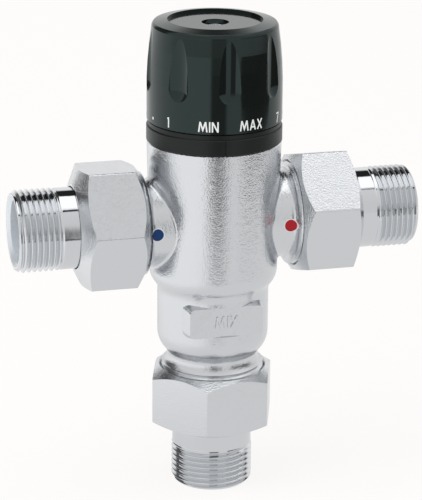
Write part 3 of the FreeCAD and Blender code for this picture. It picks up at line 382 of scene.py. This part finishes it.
FINISHES = {
    "forged_chrome": blasted("forged_chrome", 0.5 * MM, 0.09 * MM, 0.7),
    "nut_chrome": blasted("nut_chrome", 0.5 * MM, 0.10 * MM, 0.3),
    "bright_chrome": bright_chrome(),
    "knob_plastic": plastic("knob_plastic", (0.005, 0.006, 0.005), 0.1, depth=KNOB_DEPTH,
                            Specular_Tint=KNOB_TINT),
    "collar_plastic": plastic("collar_plastic", (0.003, 0.006, 0.005), 0.35,
                              Specular_IOR_Level=0.32),
    "cold_blue": plastic("cold_blue", (0.006, 0.040, 0.145), 0.5, Specular_IOR_Level=0.2),
    "hot_red": plastic("hot_red", (0.40, 0.012, 0.018), 0.5, Specular_IOR_Level=0.2),
    "gasket_fibre": plastic("gasket_fibre", (0.35, 0.05, 0.04), 0.8, FIBRE_SCALE, FIBRE_DEPTH),
    "brass": plain_metal("brass", (0.78, 0.57, 0.28), 0.25),
    "seal_rubber": plastic("seal_rubber", (0.012, 0.012, 0.012), 0.5),
    "screw_steel": plain_metal("screw_steel", (0.80, 0.81, 0.82), 0.45),
    "clip_steel": plain_metal("clip_steel", (0.55, 0.55, 0.56), 0.25),
    "washer_plastic": plastic("washer_plastic", (0.75, 0.74, 0.70), 0.45),
    "spring_steel": plain_metal("spring_steel", (0.55, 0.56, 0.57), 0.2),
    "rod_steel": plain_metal("rod_steel", (0.6, 0.6, 0.6), 0.15),
    "wax_copper": plain_metal("wax_copper", (0.80, 0.42, 0.28), 0.28),
    "shutter_plastic": plastic("shutter_plastic", (0.08, 0.08, 0.085), 0.4),
    "check_plastic": plastic("check_plastic", (0.72, 0.72, 0.70), 0.4),
    "strainer_steel": plain_metal("strainer_steel", (0.58, 0.58, 0.59), 0.3),
}

BORE_FINISH = finish("bore_metal", (0.78, 0.82, 0.86), 0.6, 0.45)[0]

# ------------------------------------------------------------------ mesh helpers
SHARP_ANGLE = math.radians(40)


def as_mesh(work, name):
    """Turns the bmesh into a mesh and frees it."""
    mesh = bpy.data.meshes.new(name)
    work.to_mesh(mesh)
    work.free()
    return mesh


def place_piece(name, mesh, body, paint):
    made = bpy.data.objects.new(name, mesh)
    mesh.materials.append(paint)
    bpy.context.scene.collection.objects.link(made)
    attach(made, body)
    return made


# ------------------------------------------------------------------ threaded pipe tails
TAIL_BORE = 10.2 * MM
TAIL_SHANK = 13.0 * MM
FLANGE_THICKNESS = 3.5 * MM
SHANK_EDGE = 0.05 * MM
THREAD_RADIUS = 13.22 * MM
THREAD_LENGTH = 14.2 * MM
THREAD_PITCH = 1.814 * MM
THREAD_DEPTH = 1.162 * MM
THREAD_CHAMFER = 1.1 * MM
CHAMFER_SLOPE = 0.9
LIP_STEP = 0.3 * MM
RUN_IN_TURNS = 1.2
THREAD_COLUMNS = 144
# one turn of the thread form: share of the pitch, share of the depth
THREAD_FORM = [(0.0, 0.0), (0.07, 0.05), (0.14, 0.18), (0.36, 0.82), (0.43, 0.95),
               (0.5, 1.0), (0.57, 0.95), (0.64, 0.82), (0.86, 0.18), (0.93, 0.05)]


def thread_rows(start, end):
    """Rows that follow the helix, as (height at angle 0, depth of cut)."""
    turns = math.ceil((end - start) / THREAD_PITCH) + 2
    return [(start + (turn - 1 + share) * THREAD_PITCH, cut * THREAD_DEPTH)
            for turn in range(turns) for share, cut in THREAD_FORM]


def tail_mesh(name, flange, length):
    """Pipe tail along +Z from its flange, with a real helical thread on its last part."""
    start, end = length - THREAD_LENGTH, length
    rows = thread_rows(start, end)
    rings = [(TAIL_BORE, 0), (flange, 0), (flange, FLANGE_THICKNESS),
             (TAIL_SHANK, FLANGE_THICKNESS), (TAIL_SHANK, FLANGE_THICKNESS + SHANK_EDGE),
             (TAIL_SHANK, start - SHANK_EDGE), (TAIL_SHANK, start)]
    lip = [(THREAD_RADIUS - THREAD_CHAMFER - LIP_STEP, end), (TAIL_BORE + THREAD_CHAMFER, end),
           (TAIL_BORE, end - THREAD_CHAMFER)]
    work = bmesh.new()
    columns = []
    for index in range(THREAD_COLUMNS):
        turn = index / THREAD_COLUMNS
        line = list(rings)
        for height, cut in rows:
            height = min(max(height + turn * THREAD_PITCH, start), end)
            run_in = min(1.0, (height - start) / (RUN_IN_TURNS * THREAD_PITCH))
            root = THREAD_RADIUS - THREAD_DEPTH
            depth = cut * run_in + (THREAD_RADIUS - TAIL_SHANK) * (1 - run_in)
            shoulder = THREAD_RADIUS - THREAD_CHAMFER + (end - height) * CHAMFER_SLOPE
            line.append((max(min(THREAD_RADIUS - depth, shoulder), min(root, shoulder)), height))
        line += lip
        angle = 2 * math.pi * turn
        columns.append([work.verts.new((out * math.cos(angle), out * math.sin(angle), height))
                        for out, height in line])
    first, last = len(rings), len(rings) + len(rows) - 1
    for index, column in enumerate(columns):
        after = columns[(index + 1) % THREAD_COLUMNS]
        skip = len(THREAD_FORM) if index == THREAD_COLUMNS - 1 else 0
        for row in range(len(column)):
            low, high = row, (row + 1) % len(column)
            ends = [min(spot + skip, last) if first <= spot <= last else spot
                    for spot in (high, low)]
            corners = [column[low], column[high], after[ends[0]], after[ends[1]]]
            work.faces.new([corner for place, corner in enumerate(corners)
                            if corner not in corners[:place]])
    bmesh.ops.remove_doubles(work, verts=work.verts, dist=1e-7)
    bmesh.ops.recalc_face_normals(work, faces=work.faces)
    for face in work.faces:
        face.smooth = True
        reach = max(corner.co.xy.length for corner in face.verts)
        face.material_index = int(reach < TAIL_BORE + THREAD_CHAMFER + SHANK_EDGE)
    mesh = as_mesh(work, name)
    mesh.set_sharp_from_angle(angle=SHARP_ANGLE)
    return mesh


def threaded_tail(side, way):
    low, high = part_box(side + "_tail")
    flange = high.y
    start, axis, length = {
        "-X": ((high.x, 0, INLET_HEIGHT), Vector((-1, 0, 0)), high.x - low.x),
        "X": ((low.x, 0, INLET_HEIGHT), Vector((1, 0, 0)), high.x - low.x),
        "-Z": ((0, 0, high.z), Vector((0, 0, -1)), high.z - low.z),
    }[way]
    turn = Vector((0, 0, 1)).rotation_difference(axis).to_matrix().to_4x4()
    mesh = tail_mesh(side + "_threaded_tail", flange, length)
    mesh.transform(Matrix.Translation(start) @ turn)
    made = place_piece(side + "_threaded_tail", mesh, "valve", FINISHES["bright_chrome"])
    mesh.materials.append(BORE_FINISH)
    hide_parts(side + "_tail")


for side, way in (("cold", "-X"), ("hot", "X"), ("outlet", "-Z")):
    threaded_tail(side, way)


# ------------------------------------------------------------------ lettering
DIAL_HEIGHT = 0.1260
DIAL_LETTER = 3.3 * MM
DIAL_STROKE = 0.46 * MM
DIAL_LIFT = 0.05 * MM
DIAL_START = -110.0         # degrees at which MIN stands, anticlockwise from +X
DIAL_MAX = -72.6
DIAL_ONE = -147.0
DIAL_STEP = 42.0
DIAL_STEPS = 7
LETTER_GAP = 0.26           # between letters, as a share of their height
LETTER_SLICE = 0.5 * MM
LETTER_STEP = 0.01 * MM     # keeps crossing strokes from sharing a face
MITRE_LIMIT = 0.2
DIAL_DOT = 0.45 * MM
DIAL_DOT_DROP = 0.4 * MM


def arc(x, y, across, up, start, end, count=8):
    """Points of an elliptical arc, for a round stroke."""
    angles = [math.radians(start + (end - start) * step / count) for step in range(count + 1)]
    return [(x + across * math.cos(angle), y + up * math.sin(angle)) for angle in angles]


# strokes of each sign: width of the sign and its lines, in shares of its height
SIGNS = {
    "M": (0.78, [[(0.0, 0.0), (0.13, 1.0), (0.39, 0.2), (0.65, 1.0), (0.78, 0.0)]]),
    "I": (0.0, [[(0.0, 0.0), (0.0, 1.0)]]),
    "N": (0.52, [[(0.0, 0.0), (0.0, 1.0), (0.52, 0.0), (0.52, 1.0)]]),
    "A": (0.56, [[(0.0, 0.0), (0.28, 1.0), (0.56, 0.0)], [(0.1, 0.3), (0.46, 0.3)]]),
    "X": (0.5, [[(0.0, 0.0), (0.5, 1.0)], [(0.0, 1.0), (0.5, 0.0)]]),
    "1": (0.15, [[(0.0, 0.88), (0.15, 0.93), (0.15, 0.0)]]),
    "2": (0.46, [arc(0.22, 0.7, 0.22, 0.24, 160, -25) + [(0.0, 0.07), (0.46, 0.07)]]),
    "3": (0.44, [arc(0.2, 0.72, 0.2, 0.22, 150, -80) + arc(0.2, 0.28, 0.22, 0.22, 80, -150)]),
    "4": (0.5, [[(0.5, 0.3), (0.02, 0.3), (0.38, 0.98), (0.38, 0.0)]]),
    "5": (0.44, [[(0.42, 0.93), (0.08, 0.93), (0.04, 0.55)]
                 + arc(0.2, 0.32, 0.22, 0.25, 110, -140)]),
    "6": (0.46, [arc(0.23, 0.28, 0.21, 0.21, 150, 510, 16), [(0.04, 0.38), (0.3, 1.0)]]),
    "7": (0.44, [[(0.0, 0.93), (0.44, 0.93), (0.14, 0.0)]]),
}


def ribbon(points, width, height):
    """Outline of a stroke with mitred corners, cut off level with the foot and the head."""
    sides = ([], [])
    for index, point in enumerate(points):
        before = (point - points[max(index - 1, 0)]).normalized()
        after = (points[min(index + 1, len(points) - 1)] - point).normalized()
        along = (before + after).normalized()
        across = Vector((-along.y, along.x))
        past = across.dot(Vector((-after.y, after.x)) if after.length else across)
        prior = across.dot(Vector((-before.y, before.x))) if before.length else 0
        reach = width / 2 / max(past, prior, MITRE_LIMIT)
        sides[0].append(point + across * reach)
        sides[1].append(point - across * reach)
    outline = sides[0] + sides[1][::-1]
    for level, sign in ((0.0, 1), (height, -1)):
        cut = []
        for here, there in zip(outline, outline[1:] + outline[:1]):
            inside, next_inside = sign * (here.y - level) >= 0, sign * (there.y - level) >= 0
            if inside:
                cut.append(here)
            if inside != next_inside:
                cut.append(here.lerp(there, (level - here.y) / (there.y - here.y)))
        outline = cut
    return outline


def letters(text, height, stroke, thickness):
    """Lettering as a mesh in the XY plane, centred, standing up by its thickness."""
    length = sum(SIGNS[sign][0] + LETTER_GAP for sign in text) - LETTER_GAP
    start = -length / 2
    work = bmesh.new()
    for sign in text:
        wide, lines = SIGNS[sign]
        for index, line in enumerate(lines):
            points = [Vector(((start + x) * height, y * height)) for x, y in line]
            corners = [work.verts.new((*(corner - Vector((0, height / 2))), 0))
                       for corner in ribbon(points, stroke, height)]
            face = work.faces.new(corners)
            raised = bmesh.ops.extrude_face_region(work, geom=[face])["geom"]
            tops = [item for item in raised if isinstance(item, bmesh.types.BMVert)]
            bmesh.ops.translate(work, vec=(0, 0, thickness + index * LETTER_STEP), verts=tops)
        start += wide + LETTER_GAP
    bmesh.ops.triangulate(work, faces=work.faces)
    reach = length * height / 2 + stroke
    for cut in range(1, int(2 * reach / LETTER_SLICE)):
        everything = work.verts[:] + work.edges[:] + work.faces[:]
        bmesh.ops.bisect_plane(work, geom=everything, plane_no=(1, 0, 0),
                               plane_co=(-reach + cut * LETTER_SLICE, 0, 0))
    bmesh.ops.recalc_face_normals(work, faces=work.faces)
    return as_mesh(work, "lettering")


def surface_of(piece):
    """Radius of a turned piece's outer surface, at an angle and a height."""
    tree = BVHTree.FromObject(piece, bpy.context.evaluated_depsgraph_get())

    def radius(angle, height):
        out = Vector((math.cos(angle), math.sin(angle), 0))
        hit = tree.ray_cast(out + Vector((0, 0, height)), -out)[0]
        return hit.xy.length
    return radius


def wrap(mesh, angle, height, radius):
    """Bends a flat mesh round the valve's axis, onto the surface that radius gives."""
    middle = radius(angle, height)
    for corner in mesh.vertices:
        turn = angle + corner.co.x / middle
        level = height + corner.co.y
        out = radius(turn, level) + corner.co.z
        corner.co = (out * math.cos(turn), out * math.sin(turn), level)


def disc_mesh(name, radius, thickness, count=32):
    work = bmesh.new()
    bmesh.ops.create_cone(work, cap_ends=True, segments=count, radius1=radius, radius2=radius,
                          depth=thickness)
    return as_mesh(work, name)


def make_dial():
    paint = plastic("dial_white", (0.82, 0.84, 0.83), 0.5)
    radius = surface_of(nodes["knob"])
    places = [("MIN", DIAL_START), ("MAX", DIAL_MAX)]
    places += [(str(step + 1), DIAL_ONE - DIAL_STEP * step) for step in range(DIAL_STEPS)]
    for text, angle in places:
        mesh = letters(text, DIAL_LETTER, DIAL_STROKE, DIAL_LIFT)
        wrap(mesh, math.radians(angle), DIAL_HEIGHT, radius)
        place_piece("dial_" + text.lower(), mesh, "knob", paint)
    for step in range(DIAL_STEPS - 1):
        angle = DIAL_ONE - DIAL_STEP * (step + 0.5)
        mesh = disc_mesh("dot", DIAL_DOT, 2 * DIAL_LIFT)
        wrap(mesh, math.radians(angle), DIAL_HEIGHT - DIAL_DOT_DROP, radius)
        place_piece(f"dial_dot_{step + 1}", mesh, "knob", paint)


PAD_MIDDLE = 0.0603
PAD_FACE = -0.0174
PAD_LETTER = 3.9 * MM
PAD_STROKE = 0.6 * MM
PAD_LIFT = 0.5 * MM


def make_pad_word():
    mesh = letters("MIX", PAD_LETTER, PAD_STROKE, PAD_LIFT)
    mesh.transform(Matrix.Translation((0, PAD_FACE, PAD_MIDDLE)) @
                   Matrix.Rotation(math.pi / 2, 4, "X"))
    place_piece("pad_word", mesh, "valve", FINISHES["forged_chrome"])


DOT_RINGS = 5
DOT_COLUMNS = 40
DOT_LIFT = 0.10 * MM
HALO_GROWTH = 0.3 * MM
HALO_LIFT = 0.05 * MM
CLEAR_ANGLE = math.radians(-15)


def neck_skin():
    """Radius of the inlet necks about their own axis, at a distance along it."""
    tree = BVHTree.FromObject(nodes["valve_body"], bpy.context.evaluated_depsgraph_get())

    def radius(x):
        out = Vector((0, -math.cos(CLEAR_ANGLE), math.sin(CLEAR_ANGLE)))
        start = Vector((x, 0, INLET_HEIGHT)) + out * TAIL_END
        return TAIL_END - tree.ray_cast(start, -out)[3]
    return radius


def painted_dot(name, node_name, growth, lift, paint):
    """Round dot that lies on the curved neck, over the marker in the solids."""
    low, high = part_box(node_name)
    middle = (low + high) / 2
    radius = (high.x - low.x) / 2 + growth
    skin = neck_skin()
    under = -2 * lift

    def spot(ring, column, level):
        angle = 2 * math.pi * column / DOT_COLUMNS
        x = middle.x + radius * ring / DOT_RINGS * math.cos(angle)
        rise = radius * ring / DOT_RINGS * math.sin(angle)
        return (x, -math.sqrt((skin(x) + level) ** 2 - rise ** 2), INLET_HEIGHT + rise)

    work = bmesh.new()
    rings = [[work.verts.new(spot(ring, column, lift)) for column in range(DOT_COLUMNS)]
             for ring in range(1, DOT_RINGS + 1)]
    rings += [[work.verts.new(spot(ring, column, under)) for column in range(DOT_COLUMNS)]
              for ring in range(DOT_RINGS, 0, -1)]
    for inner, outer in zip(rings, rings[1:]):
        for column in range(DOT_COLUMNS):
            after = (column + 1) % DOT_COLUMNS
            work.faces.new([inner[column], outer[column], outer[after], inner[after]])
    for ring, level in ((rings[0], lift), (rings[-1], under)):
        centre = work.verts.new(spot(0, 0, level))
        for column in range(DOT_COLUMNS):
            work.faces.new([centre, ring[column], ring[(column + 1) % DOT_COLUMNS]])
    bmesh.ops.recalc_face_normals(work, faces=work.faces)
    return place_piece(name, as_mesh(work, name), "valve", paint)


def make_dots():
    halo = finish("halo_white", (0.75, 0.77, 0.80), 0.0, 0.4)[0]
    for side, slot in (("cold", "cold_blue"), ("hot", "hot_red")):
        marker = side + "_marker"
        painted_dot(marker + "_halo", marker, HALO_GROWTH, HALO_LIFT, halo)
        dot = painted_dot(side + "_dot", marker, 0.0, DOT_LIFT, FINISHES[slot])
        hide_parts(marker)


SCREW_REACH = 3.3 * MM
SCREW_RISE = 1.3 * MM
SOCKET_ACROSS = 2.5 * MM
SOCKET_DEPTH = 0.9 * MM
SOCKET_TAPER = 0.98
SCREW_CROWN = 0.9           # 1 would bring the dome down to nothing at its rim
SCREW_SINK = 0.05 * MM
SCREW_COLUMNS = 48
SCREW_RINGS = 6


def make_screw_head():
    """Domed head with a hexagon socket, on the screw down in the knob's well."""
    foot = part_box("knob_screw")[1].z

    def socket(turn):
        side = (turn + math.pi / 6) % (math.pi / 3) - math.pi / 6
        return SOCKET_ACROSS / 2 / math.cos(side)

    work = bmesh.new()
    columns = []
    for index in range(SCREW_COLUMNS):
        turn = 2 * math.pi * index / SCREW_COLUMNS
        lip = socket(turn)
        radii = [lip + (SCREW_REACH - lip) * ring / SCREW_RINGS for ring in range(SCREW_RINGS + 1)]
        line = [(lip * SOCKET_TAPER, SCREW_RISE - SOCKET_DEPTH)]
        line += [(radius, SCREW_RISE * math.sqrt(1 - (radius / SCREW_REACH) ** 2 * SCREW_CROWN))
                 for radius in radii]
        line.append((SCREW_REACH, -SCREW_SINK))
        columns.append([work.verts.new((out * math.cos(turn), out * math.sin(turn), foot + rise))
                        for out, rise in line])
    for index, column in enumerate(columns):
        after = columns[(index + 1) % SCREW_COLUMNS]
        for low in range(len(column) - 1):
            work.faces.new([column[low], column[low + 1], after[low + 1], after[low]])
    work.faces.new([column[0] for column in columns])
    work.faces.new([column[-1] for column in columns])
    bmesh.ops.recalc_face_normals(work, faces=work.faces)
    for face in work.faces:
        face.smooth = True
    mesh = as_mesh(work, "screw_head")
    mesh.set_sharp_from_angle(angle=SHARP_ANGLE)
    place_piece("screw_head", mesh, "knob", FINISHES["screw_steel"])


# spring: body it stands on, joint that presses it, end that stays, travel of the joint
SPRINGS = {
    "overload_spring": ("carriage", "overload_yield", (0, 0, 0.1140), 1.8 * MM),
    "return_spring": ("valve", "wax_stroke", (0, 0, 0.0560), 1.5 * MM),
    "cold_check_spring": ("valve", "cold_check_open", (-0.0248, 0, INLET_HEIGHT), 2.5 * MM),
    "hot_check_spring": ("valve", "hot_check_open", (0.0248, 0, INLET_HEIGHT), 2.5 * MM),
}


def make_springs():
    """Springs in the shape of the ones in the solids, each set on the body it stands on."""
    for name, (body, joint, fixed_end, travel) in SPRINGS.items():
        mesh = nodes[name].data.copy()
        mesh.materials.clear()
        coil = place_piece(name.replace("spring", "coil"), mesh, body, FINISHES["spring_steel"])
        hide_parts(name)
        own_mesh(coil)


make_dial()
make_pad_word()
make_dots()
make_screw_head()
make_springs()

for piece in nodes.values():
    for place in piece.material_slots:
        place.material = FINISHES[place.material.name.split(".")[0]]
